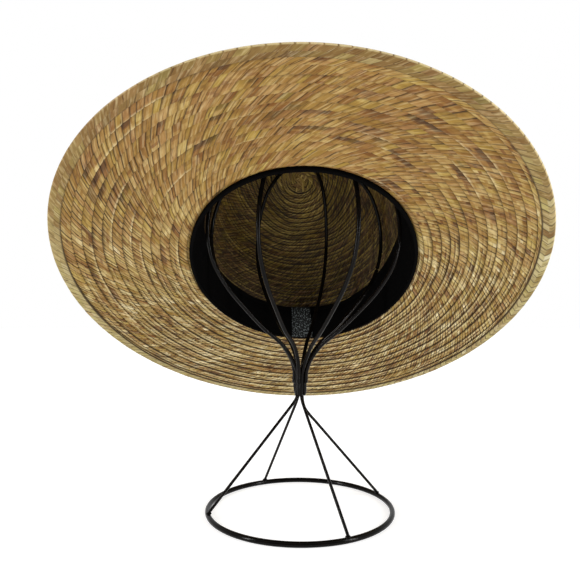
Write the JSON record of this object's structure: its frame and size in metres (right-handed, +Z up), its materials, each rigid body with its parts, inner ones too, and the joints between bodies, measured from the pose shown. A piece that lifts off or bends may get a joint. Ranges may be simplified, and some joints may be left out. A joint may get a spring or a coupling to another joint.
{
  "type": "straw hat on a wire stand",
  "caption": "Wide-brimmed plaited straw hat with a dented crown, tipped back over a round open cage of wires on a floor ring.",
  "frame": {"origin": "on the floor, under the middle of the whole outline", "axes": "+Z up, -Y towards the viewer that the hat's open underside faces, +X to that viewer's right"},
  "size_m": [0.3472, 0.3292, 0.3029],
  "materials": {
    "straw": "plaited palm straw, matt with a slight sheen",
    "edge_straw": "paler herringbone straw braid, matt",
    "band_cloth": "black brushed cloth, matt",
    "label_cloth": null,
    "wire_paint": "dark brown paint, satin"
  },
  "bodies": {
    "root": {"crown": "straw", "brim": "straw", "edge_braid": "edge_straw", "sweatband": "band_cloth", "band_label": "label_cloth", "floor_ring": "wire_paint", "leg_1": "wire_paint", "leg_2": "wire_paint", "leg_3": "wire_paint", "leg_4": "wire_paint", "cage_wire_1": "wire_paint", "cage_wire_2": "wire_paint", "cage_wire_3": "wire_paint", "cage_wire_4": "wire_paint", "cage_wire_5": "wire_paint", "cage_wire_6": "wire_paint", "cage_wire_7": "wire_paint", "cage_wire_8": "wire_paint"}
  },
  "joints": []
}
